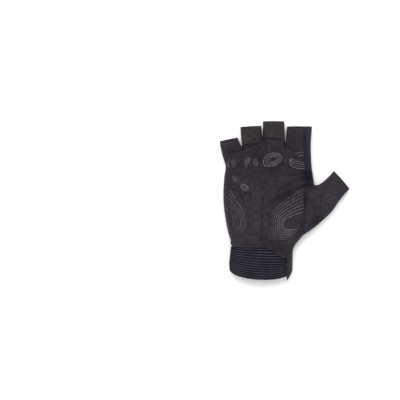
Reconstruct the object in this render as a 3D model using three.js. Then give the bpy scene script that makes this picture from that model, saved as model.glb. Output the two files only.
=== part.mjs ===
// Fingerless cycling glove for the right hand, lying on its back with the palm up.
// Millimetres. X runs across the hand to the thumb, Y from the wrist to the fingers, Z up.
// One skin of four-sided cells follows the whole glove. Each sewn panel is a group of its
// cells given a wall, with a seam gap to the panels beside it, so the glove stays hollow.
import * as THREE from "three";

// Driving dimensions, in millimetres and degrees.
const PALM_WIDTH = 93; // across the knuckles
const HAND_LENGTH = 113.5; // cuff seam to the fork of the ring and middle fingers
const PALM_THICKNESS = 25; // outside, from the back of the glove to the palm
const FINGER_WIDTH = 26.2; // the index finger, the widest
const FINGER_LENGTH = 25.2; // the index finger, from its fork line to its opening
const FINGER_THICKNESS = 15.5;
const THUMB_LENGTH = 45.6; // from the middle of its root to its opening
const THUMB_WIDTH = 24.6;
const THUMB_THICKNESS = 16;
const THUMB_ANGLE = 41.7; // above the X axis
const CUFF_LENGTH = 34.6; // down the middle of the palm side
const CUFF_WIDTH = 65.5;
const CUFF_THICKNESS = 21.5;
const CUFF_OFFSET = -8.2; // the cuff's middle, from the palm's
const CUFF_RISE = 4.5; // how much higher the cuff starts on the back
const CUFF_TUCK = 1.7; // how far its top edge is tucked in under the panels
const RIM_ARC = 9.4; // how far the rim curves down on the palm side
const RIM_ARC_BACK = 6; // the same on the back
const RIM_SKEW = 1.2; // how much lower the rim is on the thumb side than in the middle
const RIB_COUNT = 13;
const RIB_DEPTH = 0.8;
const RIB_SLOPE = 3; // how much lower the ribs in the cuff's middle are on the thumb side
const SUEDE_WALL = 1.2;
const KNIT_WALL = 1;
const CUFF_WALL = 1.9; // at the crest of a rib
const HEM_WALL = 1;
const PAD_RISE = 2.6; // the gel pads, above the palm
const PAD_EDGE = 0.5; // thickness where a pad's edge is sewn down
const HOLLOW_DEPTH = 2.4; // of the palm, between the two pads
const VALLEY_DEPTH = 2.2; // between the fingers, below each fork
const TAB_LENGTH = 4.2; // free corner of the wrist strip, past the rim
const FINGER_REST = 0.5; // how far the fingers' backs lie above the palm's back
const REST_FLAT = 0.7; // how much of the back's curve is pressed flat where it lies
const SEAM_GAP = 0.3; // between neighbouring panels
const LAP_GAP = 0.4; // under a piece that laps over another

const SUEDE = 0x37323a;
const KNIT = 0x232229;
const STRETCH = 0x26263a;
const RIBBED = 0x25252f;
const GEL = 0x3b363d;

// Rows of the hand, from the cuff seam up to the forks. up is a share of the distance to the
// forks, ulnar and radial are the two edges as shares of half the palm's width, and thick is a
// share of the palm's thickness.
const HAND_ROWS = [
  { up: 0.0, ulnar: 0.85, radial: 0.605, thick: 0.86 },
  { up: 0.06, ulnar: 0.845, radial: 0.71, thick: 0.88 },
  { up: 0.11, ulnar: 0.885, radial: 0.8, thick: 0.91 },
  { up: 0.2, ulnar: 0.924, radial: 0.845, thick: 0.95 },
  { up: 0.3, ulnar: 0.954, radial: 0.914, thick: 0.98 },
  { up: 0.4, ulnar: 0.98, radial: 0.966, thick: 1.0 },
  { up: 0.5, ulnar: 1.004, radial: 1.0, thick: 1.0 },
  { up: 0.6, ulnar: 1.012, radial: 1.02, thick: 0.98 },
  { up: 0.66, ulnar: 1.014, radial: 1.035, thick: 0.96 },
  { up: 0.74, ulnar: 1.012, radial: 1.012, thick: 0.92 },
  { up: 0.82, ulnar: 1.003, radial: 0.985, thick: 0.87 },
  { up: 0.88, ulnar: 0.992, radial: 0.972, thick: 0.82 },
  { up: 0.94, ulnar: 0.972, radial: 0.966, thick: 0.76 },
  { up: 1.0, ulnar: 0.948, radial: 0.963, thick: 0.7 },
];
const THUMB_FOOT_ROW = 2;
const THUMB_CROTCH_ROW = 8;
const BACK_SEAM_ROW = 9;
const BACK_SEAM_ULNAR = 0.5; // height of the back's slanting seam, as a share of the hand's
const BACK_SEAM_RADIAL = 0.63; // length, on the little finger's side and on the thumb's

// The cuff's two edges down its length, as shares of half its width either side of its middle.
const CUFF_ROWS = [
  { down: 0.0, ulnar: 0.955, radial: 1.0 },
  { down: 0.12, ulnar: 0.965, radial: 0.985 },
  { down: 0.4, ulnar: 0.99, radial: 0.985 },
  { down: 0.75, ulnar: 1.02, radial: 0.975 },
  { down: 1.0, ulnar: 1.01, radial: 0.98 },
];

// How far the suede laps over the cuff, as a share of the cuff's length.
const LAPS = [
  { share: 0.0, down: 0.035 },
  { share: 0.58, down: 0.035 },
  { share: 0.7, down: 0.13 },
  { share: 0.77, down: 0.23 },
  { share: 0.84, down: 0.3 },
  { share: 1.0, down: 0.335 },
];

// The forks, from the little finger's outer side to the index finger's. share is how far across
// the knuckles each one is, rise how high the palm and back reach there and web how much
// further the web between them does, both as shares of the hand's length.
const FORKS = [
  { share: 0.03, rise: 0.737, web: 0 },
  { share: 0.19, rise: 0.881, web: 0.026 },
  { share: 0.426, rise: 0.955, web: 0.048 },
  { share: 0.699, rise: 0.915, web: 0.024 },
  { share: 0.97, rise: 0.85, web: 0 },
];

// The fingers. width, length and thick are shares of the index finger's, and swell is how much
// its outer side bulges halfway, of half its width. lean is towards the little finger's side
// and slant is how much less its opening leans, both in degrees.
const FINGERS = [
  { name: "little", width: 0.744, length: 0.825, thick: 0.88, swell: 0.2, lean: 20, slant: 8 },
  { name: "ring", width: 0.848, length: 0.823, thick: 1.0, swell: 0, lean: 4.4, slant: 1.4 },
  { name: "middle", width: 0.866, length: 0.954, thick: 1.02, swell: 0, lean: 0.8, slant: 0.8 },
  { name: "index", width: 1.01, length: 0.985, thick: 1.0, swell: 0, lean: -6, slant: -6 },
];

// The hems: how far each reaches down the two sides of its finger's front, as shares of the
// index finger's length.
const HEMS = {
  little: { ulnar: 0.437, radial: 0.552 },
  ring: { ulnar: 0.722, radial: 0.706 },
  middle: { ulnar: 0.673, radial: 0.747 },
  index: { ulnar: 0.65, radial: 0.65 },
};

// Sections of the thumb out to its opening. near and far are its edges towards the index finger
// and the wrist: how far along it (share of its length) and off its axis (share of half its width).
const THUMB_ROWS = [
  { nearAlong: 0.515, nearOff: 1.06, farAlong: -0.19, farOff: -1.48, thick: 1.36 },
  { nearAlong: 0.63, nearOff: 0.97, farAlong: 0.09, farOff: -1.44, thick: 1.26 },
  { nearAlong: 0.745, nearOff: 0.96, farAlong: 0.35, farOff: -1.48, thick: 1.13 },
  { nearAlong: 0.866, nearOff: 0.98, farAlong: 0.636, farOff: -1.12, thick: 1.04 },
  { nearAlong: 1.01, nearOff: 1.05, farAlong: 1.005, farOff: -0.99, thick: 1.0 },
];

// Outlines of the gel pads on the palm, seen from above: x as a share of half the palm's width
// from its middle, y as a share of the hand's length.
const THENAR_OUTLINE = [
  { x: 0.75, y: 0.56 },
  { x: 0.51, y: 0.52 },
  { x: 0.24, y: 0.46 },
  { x: 0.0, y: 0.385 },
  { x: -0.135, y: 0.29 },
  { x: -0.17, y: 0.18 },
  { x: -0.14, y: 0.075 },
  { x: 0.1, y: 0.05 },
  { x: 0.42, y: 0.06 },
  { x: 0.6, y: 0.15 },
  { x: 0.7, y: 0.26 },
  { x: 0.765, y: 0.42 },
];
const HYPOTHENAR_OUTLINE = [
  { x: -0.85, y: 0.43 },
  { x: -0.84, y: 0.31 },
  { x: -0.79, y: 0.19 },
  { x: -0.7, y: 0.11 },
  { x: -0.56, y: 0.1 },
  { x: -0.47, y: 0.16 },
  { x: -0.46, y: 0.26 },
  { x: -0.52, y: 0.36 },
  { x: -0.62, y: 0.45 },
  { x: -0.76, y: 0.52 },
];

const FINGER_CELLS = 4; // across the front of a finger, and across its back
const SIDE_CELLS = 4; // up the side of the hand or of a finger
const CUFF_CELLS = 2 * RIB_COUNT;
const PALM_SEAM_SHARE = 0.91; // where the palm meets the strip on the thumb's side
const BACK_SEAM_SHARE = 0.945; // the same on the back
const FINGER_STOPS = [0.25, 0.6, 1]; // rings of a finger, as shares of its length
const FINGER_FRONT = [-0.87, -0.5, 0, 0.5, 0.87]; // corners across a finger, of half its width
const INDEX_FRONT = [-0.87, -0.5, -0.08, 0.37, 0.87]; // its seam runs on from the palm's
const INDEX_BACK = [-0.87, -0.42, 0.1, 0.7, 0.87];
const PALM_BULGE = 2.4; // exponents of the rounded section: palm side,
const BACK_BULGE = 3.6; // back, which lies flat,
const FINGER_BULGE = 2.1; // and fingers
const LOWER_SHARE = 0.42; // of the thickness, below the widest line of the section
const HEM_REACH = 0.84; // of half a finger's width that its hem reaches to each side
const INDEX_HEM_REACH = 0.34; // the same on the index finger's outer side, up to its seam
const HEM_TAPER = 0.1; // how much narrower a hem's lower edge is
const HEM_LIFT = 0.5; // how far the lower edge stands off, besides the gap
const HEM_COLUMNS = 8; // of cells across a hem
const HEM_ROWS = 4; // and down it
const STEEPEST = 0.6; // upward share of the steepest slope that a hem or a pad allows for
const PAD_POINTS = 26; // round a pad
const PAD_RINGS = [1, 0.94, 0.83, 0.6, 0.3]; // of the way out from a pad's middle

const { clamp, degToRad, lerp, smoothstep } = THREE.MathUtils;
const FRONT = FINGER_CELLS * FINGERS.length; // cells across the whole palm side
const RADIAL = FRONT; // ring index of the front's last corner
const BACK = RADIAL + SIDE_CELLS; // ring index of the back's first corner
const ULNAR = BACK + FRONT; // ring index of the back's last corner
const RING = ULNAR + SIDE_CELLS;
const LAST_ROW = HAND_ROWS.length - 1;
const SEAM_COLUMN = FRONT - 1;
const LAP_ROW = 2; // the row over the cuff where the suede ends
const STRIP_ROW = 5; // and where the wrist strip ends

// A table's value at a place, between the two rows around it.
function along(table, key, at, column) {
  const next = table.findIndex((row, i) => i > 0 && (at <= row[key] || i === table.length - 1));
  const [low, high] = [table[next - 1], table[next]];
  return lerp(low[column], high[column], (at - low[key]) / (high[key] - low[key]));
}

// Height of a rounded section over its middle line, off from -1 to 1 across it.
function arch(off, bulge) {
  return Math.max(0, 1 - Math.abs(off) ** bulge) ** (1 / bulge);
}

// Where each corner of the front or back is across the hand, from the little finger's side.
function columnShares(seamShare) {
  const shares = [];
  FINGERS.forEach((finger, i) => {
    for (let k = 0; k < FINGER_CELLS; k++) {
      shares.push(lerp(FORKS[i].share, FORKS[i + 1].share, k / FINGER_CELLS));
    }
  });
  shares.push(FORKS[FINGERS.length].share);
  shares[SEAM_COLUMN] = seamShare;
  return shares;
}
const FRONT_SHARES = columnShares(PALM_SEAM_SHARE);
const BACK_SHARES = columnShares(BACK_SEAM_SHARE);
const EDGE_OFF = 2 * FORKS[FINGERS.length].share - 1; // where the side of a section starts

// A corner of the ring: the side it is on, its share across, and how far down from palm to back.
function ringPlace(column) {
  const c = (column + RING) % RING;
  if (c <= RADIAL) return { side: "front", share: FRONT_SHARES[c], down: 0 };
  if (c < BACK) return { side: "radial", share: 1, down: (c - RADIAL) / SIDE_CELLS };
  if (c <= ULNAR) return { side: "back", share: BACK_SHARES[ULNAR - c], down: 1 };
  return { side: "ulnar", share: 0, down: 1 - (c - ULNAR) / SIDE_CELLS };
}

// A ring corner in a rounded section from left to right, thick high, lying flat on its back.
function sectionPoint(place, left, right, thick) {
  const lower = LOWER_SHARE * thick;
  const upper = thick - lower;
  const off = 2 * place.share - 1;
  if (place.side === "front") {
    return { x: lerp(left, right, place.share), z: lower + upper * arch(off, PALM_BULGE) };
  }
  if (place.side === "back") {
    const z = lower - (lower + REST_FLAT) * arch(off, BACK_BULGE);
    return { x: lerp(left, right, place.share), z: Math.max(0, z) };
  }
  const top = upper * arch(EDGE_OFF, PALM_BULGE);
  const bottom = (lower + REST_FLAT) * arch(EDGE_OFF, BACK_BULGE);
  const z = lerp(top, -bottom, place.down);
  const reach = z > 0 ? arch(z / upper, PALM_BULGE) : arch(-z / (lower + REST_FLAT), BACK_BULGE);
  return { x: (left + right) / 2 + (off * reach * (right - left)) / 2, z: lower + z };
}

// Height of the fork line above the cuff seam, across the hand.
function forkRise(share) {
  return HAND_LENGTH * along(FORKS, "share", share, "rise");
}

// The dents of the palm: a valley below each fork, and a hollow between the pads.
function palmDent(share, up) {
  const fade = smoothstep(up, 0.66, 1);
  const nearest = Math.min(...FORKS.slice(1, -1).map((fork) => Math.abs(share - fork.share)));
  const valley = VALLEY_DEPTH * fade * Math.exp(-((nearest / 0.035) ** 2));
  const middle = Math.exp(-(((share - 0.36) / 0.15) ** 2));
  const lower = smoothstep(up, 0.04, 0.3) * (1 - smoothstep(up, 0.4, 0.75));
  return valley + HOLLOW_DEPTH * middle * lower;
}

// Heights of the rows on the back, which has its slanting seam at BACK_SEAM_ROW.
function backRise(share, up) {
  const seamUp = HAND_ROWS[BACK_SEAM_ROW].up;
  const seam = HAND_LENGTH * lerp(BACK_SEAM_ULNAR, BACK_SEAM_RADIAL, share);
  if (up < seamUp) return lerp(CUFF_RISE, seam, up / seamUp);
  return lerp(seam, forkRise(share), (up - seamUp) / (1 - seamUp));
}

// A corner of the hand's skin. row counts HAND_ROWS, column counts round the ring.
function handPoint(row, column) {
  const place = ringPlace(column);
  const { up, ulnar, radial, thick } = HAND_ROWS[row];
  const half = PALM_WIDTH / 2;
  const point = sectionPoint(place, -ulnar * half, radial * half, thick * PALM_THICKNESS);
  const share = clamp(place.share, FORKS[0].share, FORKS[FINGERS.length].share);
  const y = lerp(up * forkRise(share), backRise(share, up), place.down);
  if (place.side === "front") point.z -= palmDent(share, up);
  point.z += place.down * smoothstep(up, 0.8, 1) * FINGER_REST;
  return new THREE.Vector3(point.x, y, point.z);
}

// A corner over the cuff, lifted off its outline. down is 0 at the seam and 1 at the rim. The
// cuff's section takes over from the hand's just below the seam.
function cuffPoint(down, column, lift) {
  const place = ringPlace(column);
  const own = smoothstep(down, 0, CUFF_ROWS[1].down);
  const edge = (side, middle) => {
    const hand = (HAND_ROWS[0][side] * PALM_WIDTH) / 2;
    const cuff = middle + (along(CUFF_ROWS, "down", down, side) * CUFF_WIDTH) / 2;
    return lerp(hand, cuff, own) + lift;
  };
  const left = -edge("ulnar", -CUFF_OFFSET);
  const right = edge("radial", CUFF_OFFSET);
  const thick = lerp(HAND_ROWS[0].thick * PALM_THICKNESS, CUFF_THICKNESS, own);
  const point = sectionPoint(place, left, right, thick + 2 * lift);
  const off = clamp((2 * point.x - left - right) / (right - left), -1, 1);
  const arc = lerp(RIM_ARC * arch(off, 2), RIM_ARC_BACK * arch(off, 3), place.down);
  const reach = CUFF_LENGTH - RIM_ARC + RIM_SKEW * off + arc;
  const slope = RIB_SLOPE * 4 * down * (1 - down) * clamp(place.share, 0, 1) * (1 - place.down);
  const y = (1 - down) * CUFF_RISE * place.down - down * reach - Math.max(0, slope);
  return new THREE.Vector3(point.x, y, Math.max(0, point.z - lift));
}

// How far the cuff's top is tucked in below its outline.
function tuckAt(down) {
  return CUFF_TUCK * (1 - smoothstep(down, 0.02, 0.17));
}

// The skin: corners found by name, so that neighbouring cells share them.
const corners = new Map();
function corner(name, make) {
  if (!corners.has(name)) corners.set(name, { name, at: make(), normal: new THREE.Vector3() });
  return corners.get(name);
}
function handCorner(row, column) {
  return corner(`hand ${row} ${(column + RING) % RING}`, () => handPoint(row, column));
}

// A corner of the suede or of the wrist strip where they lap over the cuff.
function lapCorner(row, column) {
  if (row === 0) return handCorner(0, column);
  const lapEnd = along(LAPS, "share", ringPlace(column).share, "down");
  const past = (TAB_LENGTH / CUFF_LENGTH) * lerp(1, -1, (column - SEAM_COLUMN) / 2);
  const stripEnd = 1 + Math.max(past, -TAB_LENGTH / CUFF_LENGTH);
  const beyond = (row - LAP_ROW) / (STRIP_ROW - LAP_ROW);
  const down = row <= LAP_ROW ? (lapEnd * row) / LAP_ROW : lerp(lapEnd, stripEnd, beyond);
  const lift = Math.max(0, SUEDE_WALL + LAP_GAP - tuckAt(down));
  return corner(`lap ${row} ${column}`, () => cuffPoint(down, column, lift));
}

// The web of a fork, from the palm side over its middle to the back.
function webCorner(fork, step) {
  if (fork === 0) return handCorner(LAST_ROW, RING - step);
  if (fork === FINGERS.length) return handCorner(LAST_ROW, RADIAL + step);
  if (step === 0) return handCorner(LAST_ROW, fork * FINGER_CELLS);
  if (step === SIDE_CELLS) return handCorner(LAST_ROW, ULNAR - fork * FINGER_CELLS);
  const [front, back] = [webCorner(fork, 0).at, webCorner(fork, SIDE_CELLS).at];
  const turn = (step / SIDE_CELLS) * Math.PI;
  const one = corner(`web ${fork} ${step}`, () => {
    const point = front.clone().lerp(back, (1 - Math.cos(turn)) / 2);
    point.y += FORKS[fork].web * HAND_LENGTH * Math.sin(turn);
    return point;
  });
  // The two walls of a web meet in a sharp fold, which faces the fingertips.
  one.fold = new THREE.Vector3(0, Math.sin(turn), Math.cos(turn));
  return one;
}

// The ring of a finger's root: front, side towards the thumb, back, and the other side.
function fingerRoot(index) {
  const first = index * FINGER_CELLS;
  const ring = [];
  for (let k = 0; k < FINGER_CELLS; k++) ring.push(handCorner(LAST_ROW, first + k));
  for (let k = 0; k < SIDE_CELLS; k++) ring.push(webCorner(index + 1, k));
  for (let k = FINGER_CELLS; k > 0; k--) ring.push(handCorner(LAST_ROW, ULNAR - first - k));
  for (let k = SIDE_CELLS; k > 0; k--) ring.push(webCorner(index, k));
  return ring;
}

// Offsets of a finger's ring from its axis, across and up, as shares of its half sizes.
function fingerSection(front, back) {
  const across = (off, sign) => [off, sign * arch(off, FINGER_BULGE)];
  const top = arch(FINGER_FRONT[FINGER_CELLS], FINGER_BULGE);
  const side = (k, sign) => {
    const up = sign * lerp(top, -top, k / SIDE_CELLS);
    return [sign * arch(up, FINGER_BULGE), up];
  };
  const section = [];
  for (let k = 0; k < FINGER_CELLS; k++) section.push(across(front[k], 1));
  for (let k = 0; k < SIDE_CELLS; k++) section.push(side(k, 1));
  for (let k = FINGER_CELLS; k > 0; k--) section.push(across(back[k], -1));
  for (let k = 0; k < SIDE_CELLS; k++) section.push(side(k, -1));
  return section;
}

// A finger's two directions, the middle of its opening and its half sizes there.
function fingerFrame(index) {
  const finger = FINGERS[index];
  const lean = degToRad(finger.lean);
  const axis = new THREE.Vector3(-Math.sin(lean), Math.cos(lean), 0);
  const turn = degToRad(finger.lean - finger.slant);
  const across = new THREE.Vector3(Math.cos(turn), Math.sin(turn), 0);
  const end = webCorner(index, 0).at.clone();
  end.add(webCorner(index + 1, 0).at).multiplyScalar(0.5);
  end.addScaledVector(axis, finger.length * FINGER_LENGTH);
  const halfWidth = (finger.width * FINGER_WIDTH) / 2;
  const halfHeight = (finger.thick * FINGER_THICKNESS) / 2;
  end.z = FINGER_REST + halfHeight;
  return { axis, across, end, halfWidth, halfHeight };
}

// The rings of a finger, from its root to its opening.
function fingerRings(index) {
  const finger = FINGERS[index];
  const root = fingerRoot(index);
  const { axis, across, end, halfWidth, halfHeight } = fingerFrame(index);
  const isIndex = index === FINGERS.length - 1;
  const section = isIndex
    ? fingerSection(INDEX_FRONT, INDEX_BACK)
    : fingerSection(FINGER_FRONT, FINGER_FRONT);
  const rings = FINGER_STOPS.map((stop, n) =>
    root.map((from, k) =>
      corner(`${finger.name} ${n} ${k}`, () => {
        const [off, up] = section[k];
        const step = end.clone().addScaledVector(across, off * halfWidth);
        step.z += up * halfHeight;
        step.sub(from.at);
        const forward = axis.clone().multiplyScalar(step.dot(axis));
        const sideways = step.sub(forward).multiplyScalar(1 - (1 - stop) ** 3);
        const swell = finger.swell * 4 * stop * (1 - stop) * Math.min(0, off);
        sideways.addScaledVector(across, swell * halfWidth);
        return from.at.clone().addScaledVector(forward, stop).add(sideways);
      }),
    ),
  );
  return [root, ...rings];
}

// The rings of the thumb. Its root is the loop that the hand's cells leave open: the side near
// the index finger, the back, the side near the wrist and the front.
const THUMB_SIDE = SIDE_CELLS + 2;
const THUMB_FACE = THUMB_CROTCH_ROW - THUMB_FOOT_ROW;
function thumbRings() {
  const root = [];
  for (let k = 0; k < THUMB_SIDE; k++) root.push(handCorner(THUMB_CROTCH_ROW, SEAM_COLUMN + k));
  for (let k = 0; k < THUMB_FACE; k++) root.push(handCorner(THUMB_CROTCH_ROW - k, BACK + 1));
  for (let k = 0; k < THUMB_SIDE; k++) root.push(handCorner(THUMB_FOOT_ROW, BACK + 1 - k));
  for (let k = 0; k < THUMB_FACE; k++) root.push(handCorner(THUMB_FOOT_ROW + k, SEAM_COLUMN));
  const middle = handCorner(THUMB_CROTCH_ROW, RADIAL + SIDE_CELLS / 2).at.clone();
  middle.add(handCorner(THUMB_FOOT_ROW, RADIAL + SIDE_CELLS / 2).at).multiplyScalar(0.5);
  const turn = degToRad(THUMB_ANGLE);
  const axis = new THREE.Vector3(Math.cos(turn), Math.sin(turn), 0);
  const across = new THREE.Vector3(-axis.y, axis.x, 0);
  const place = (alongShare, offShare) => {
    const point = middle.clone().addScaledVector(axis, alongShare * THUMB_LENGTH);
    return point.addScaledVector(across, (offShare * THUMB_WIDTH) / 2);
  };
  const sideTurn = Math.PI / 3;
  const faceTurn = Math.PI - sideTurn;
  const turns = [];
  for (let k = 0; k < THUMB_SIDE; k++) turns.push(sideTurn / 2 - (sideTurn * k) / THUMB_SIDE);
  for (let k = 0; k < THUMB_FACE; k++) turns.push(-sideTurn / 2 - (faceTurn * k) / THUMB_FACE);
  turns.push(...turns.map((angle) => angle - Math.PI));
  const rings = THUMB_ROWS.map((row, n) => {
    const near = place(row.nearAlong, row.nearOff);
    const far = place(row.farAlong, row.farOff);
    const height = (row.thick * THUMB_THICKNESS) / 2;
    return turns.map((angle, k) =>
      corner(`thumb ${n} ${k}`, () => {
        const point = far.clone().lerp(near, (1 + Math.cos(angle)) / 2);
        return point.setZ(FINGER_REST + height * (1 + Math.sin(angle)));
      }),
    );
  });
  return [root, ...rings];
}

// Cells of the skin, by the panel that they belong to.
const panels = {};
function addCell(panel, cell) {
  (panels[panel] ??= []).push(cell);
}
function cellBetween(low, high, k) {
  const next = (k + 1) % low.length;
  return [low[k], low[next], high[next], high[k]];
}

const BACK_SEAM_COLUMN = ULNAR - 2; // where the plain back panel ends, near the hand's edge
function handPanel(row, column) {
  const besideThumb = column >= SEAM_COLUMN && column <= BACK;
  if (besideThumb && row >= THUMB_CROTCH_ROW) return "index_side_strip";
  if (besideThumb && row >= THUMB_FOOT_ROW) return null;
  if (column < SEAM_COLUMN) return "palm_panel";
  if (column < BACK) return "wrist_strip";
  return row < BACK_SEAM_ROW && column < BACK_SEAM_COLUMN ? "back_panel" : "back_mesh";
}
for (let row = 0; row < LAST_ROW; row++) {
  for (let column = 0; column < RING; column++) {
    const panel = handPanel(row, column);
    const low = [handCorner(row, column), handCorner(row, column + 1)];
    const high = [handCorner(row + 1, column), handCorner(row + 1, column + 1)];
    if (panel) addCell(panel, cellBetween(low, high, 0));
  }
}
for (let row = 0; row < STRIP_ROW; row++) {
  for (let column = row < LAP_ROW ? 0 : SEAM_COLUMN; column < BACK; column++) {
    const low = [lapCorner(row + 1, column), lapCorner(row + 1, column + 1)];
    const high = [lapCorner(row, column), lapCorner(row, column + 1)];
    addCell(column < SEAM_COLUMN ? "palm_panel" : "wrist_strip", cellBetween(low, high, 0));
  }
}

const FOURCHETTES = ["fourchette_ring_little", "fourchette_middle_ring", "fourchette_index_middle"];
function fingerPanel(index, k) {
  const side = FINGER_CELLS; // the cell where the side towards the thumb starts
  const back = side + SIDE_CELLS;
  const otherSide = back + FINGER_CELLS;
  if (index === FINGERS.length - 1 && k >= side - 1 && k <= back) return "index_side_strip";
  if (k < side) return "palm_panel";
  if (k < back) return FOURCHETTES[index];
  if (k < otherSide || index === 0) return "back_mesh";
  return FOURCHETTES[index - 1];
}
FINGERS.forEach((finger, index) => {
  const rings = fingerRings(index);
  for (let n = 0; n + 1 < rings.length; n++) {
    for (let k = 0; k < rings[n].length; k++) {
      addCell(fingerPanel(index, k), cellBetween(rings[n], rings[n + 1], k));
    }
  }
});

// The thumb's front wraps round its far side and a little way onto the back.
const THUMB_BACK_FIRST = THUMB_SIDE / 2;
const THUMB_BACK_LAST = THUMB_SIDE + THUMB_FACE - 3;
const thumb = thumbRings();
for (let n = 0; n + 1 < thumb.length; n++) {
  for (let k = 0; k < thumb[n].length; k++) {
    const onBack = k >= THUMB_BACK_FIRST && k <= THUMB_BACK_LAST;
    addCell(onBack ? "thumb_back" : "thumb_front", cellBetween(thumb[n + 1], thumb[n], k));
  }
}

// The cuff has its own skin, with a crest and a hollow for each rib.
function cuffRing(n) {
  const isHollow = n % 2 === 1;
  const down = n / CUFF_CELLS;
  const lift = -tuckAt(down) - (isHollow ? RIB_DEPTH : 0);
  return Array.from({ length: RING }, (unused, column) => {
    const one = corner(`cuff ${n} ${column}`, () => cuffPoint(down, column, lift));
    one.wall = CUFF_WALL - (isHollow ? RIB_DEPTH : 0);
    return one;
  });
}
for (let n = 0; n < CUFF_CELLS; n++) {
  const [high, low] = [cuffRing(n), cuffRing(n + 1)];
  for (let column = 0; column < RING; column++) addCell("cuff", cellBetween(low, high, column));
}

// Outward normals of the whole skin, so that neighbouring walls meet.
for (const [a, b, c, d] of Object.values(panels).flat()) {
  const normal = c.at.clone().sub(a.at).cross(d.at.clone().sub(b.at));
  for (const one of [a, b, c, d]) one.normal.add(normal);
}
for (const one of corners.values()) one.normal.copy(one.fold ?? one.normal).normalize();

// Builds a closed body from numbered points and four-sided faces, split on the shorter way.
// A face whose last two corners are one is a triangle.
function bodyOf(points, quads) {
  const faces = quads.flatMap(([a, b, c, d]) => {
    if (c === d) return [a, b, c];
    const isShorter = points[a].distanceTo(points[c]) <= points[b].distanceTo(points[d]);
    return isShorter ? [a, b, c, a, c, d] : [a, b, d, b, c, d];
  });
  const positions = new Float32Array(points.flatMap((point) => point.toArray()));
  const geometry = new THREE.BufferGeometry();
  geometry.setAttribute("position", new THREE.BufferAttribute(positions, 3));
  return geometry.setIndex(faces);
}

// Gives a group of cells a wall: an outer face, an inner face and the edge between them. The
// edge steps back by half the seam gap.
function wallOf(cells, wall) {
  const edges = new Map();
  for (const cell of cells) {
    cell.forEach((from, k) => {
      const to = cell[(k + 1) % 4];
      edges.set(`${from.name}>${to.name}`, { from, to });
    });
  }
  const rim = [...edges.values()].filter(({ from, to }) => !edges.has(`${to.name}>${from.name}`));
  const inward = new Map();
  for (const { from, to } of rim) {
    const direction = to.at.clone().sub(from.at).normalize();
    for (const one of [from, to]) {
      const side = one.normal.clone().cross(direction).normalize();
      inward.set(one, [...(inward.get(one) ?? []), side]);
    }
  }
  const points = [];
  const numbers = new Map();
  for (const one of new Set(cells.flat())) {
    const outer = one.at.clone();
    const [first, second] = inward.get(one) ?? [];
    if (first) {
      const mitre = first.clone().add(second).divideScalar(Math.max(0.6, 1 + first.dot(second)));
      outer.addScaledVector(mitre, SEAM_GAP / 2);
    }
    const inner = outer.clone().addScaledVector(one.normal, -(one.wall ?? wall));
    numbers.set(one, points.length);
    points.push(outer, inner);
  }
  const outerOf = (one) => numbers.get(one);
  const innerOf = (one) => numbers.get(one) + 1;
  const quads = [
    ...cells.map((cell) => cell.map(outerOf)),
    ...cells.map((cell) => cell.map(innerOf).reverse()),
    ...rim.map(({ from, to }) => [outerOf(to), outerOf(from), innerOf(from), innerOf(to)]),
  ];
  return bodyOf(points, quads);
}

// A point over the palm panel and one wall higher, both clear of it by gap. On a slope both
// are further off upwards, so that the gap and the wall keep their thickness.
const ray = new THREE.Raycaster();
function pairOver(palm, { x, y }, gap, wall) {
  const start = new THREE.Vector3(x, y, 2 * PALM_THICKNESS);
  ray.set(start, new THREE.Vector3(0, 0, -1));
  const { point, face } = ray.intersectObject(palm)[0];
  const slope = 1 / Math.max(STEEPEST, face.normal.z);
  const low = point.clone().setZ(point.z + gap * slope);
  return [low, low.clone().setZ(low.z + wall * slope)];
}

// A finger's turned hem: a band over its front, from its opening down to a straight edge that
// stands off a little.
function hemOver(palm, index) {
  const hem = HEMS[FINGERS[index].name];
  const { axis, across, end, halfWidth } = fingerFrame(index);
  const isIndex = index === FINGERS.length - 1;
  const radialOff = isIndex ? INDEX_HEM_REACH : HEM_REACH;
  const points = [];
  for (let row = 0; row <= HEM_ROWS; row++) {
    const down = row / HEM_ROWS;
    for (let k = 0; k <= HEM_COLUMNS; k++) {
      const off = lerp(-HEM_REACH, radialOff, k / HEM_COLUMNS) * (1 - HEM_TAPER * down);
      const reach = lerp(hem.ulnar, hem.radial, k / HEM_COLUMNS) * FINGER_LENGTH;
      const spot = end.clone().addScaledVector(across, off * halfWidth);
      spot.addScaledVector(axis, -lerp(SEAM_GAP, reach, down));
      points.push(...pairOver(palm, spot, LAP_GAP + HEM_LIFT * down ** 2, HEM_WALL));
    }
  }
  // Numbers of the lower and the upper point at a place of the grid.
  const lower = (row, k) => 2 * (row * (HEM_COLUMNS + 1) + k);
  const upper = (row, k) => lower(row, k) + 1;
  const faces = [];
  for (let row = 0; row < HEM_ROWS; row++) {
    for (let k = 0; k < HEM_COLUMNS; k++) {
      const places = [[row + 1, k], [row + 1, k + 1], [row, k + 1], [row, k]];
      faces.push(places.map((place) => upper(...place)));
      faces.push(places.map((place) => lower(...place)).reverse());
    }
  }
  const edge = [];
  for (let k = 0; k < HEM_COLUMNS; k++) edge.push([0, k]);
  for (let row = 0; row < HEM_ROWS; row++) edge.push([row, HEM_COLUMNS]);
  for (let k = HEM_COLUMNS; k > 0; k--) edge.push([HEM_ROWS, k]);
  for (let row = HEM_ROWS; row > 0; row--) edge.push([row, 0]);
  edge.forEach((place, n) => {
    const next = edge[(n + 1) % edge.length];
    faces.push([lower(...place), upper(...place), upper(...next), lower(...next)]);
  });
  return bodyOf(points, faces);
}

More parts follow.
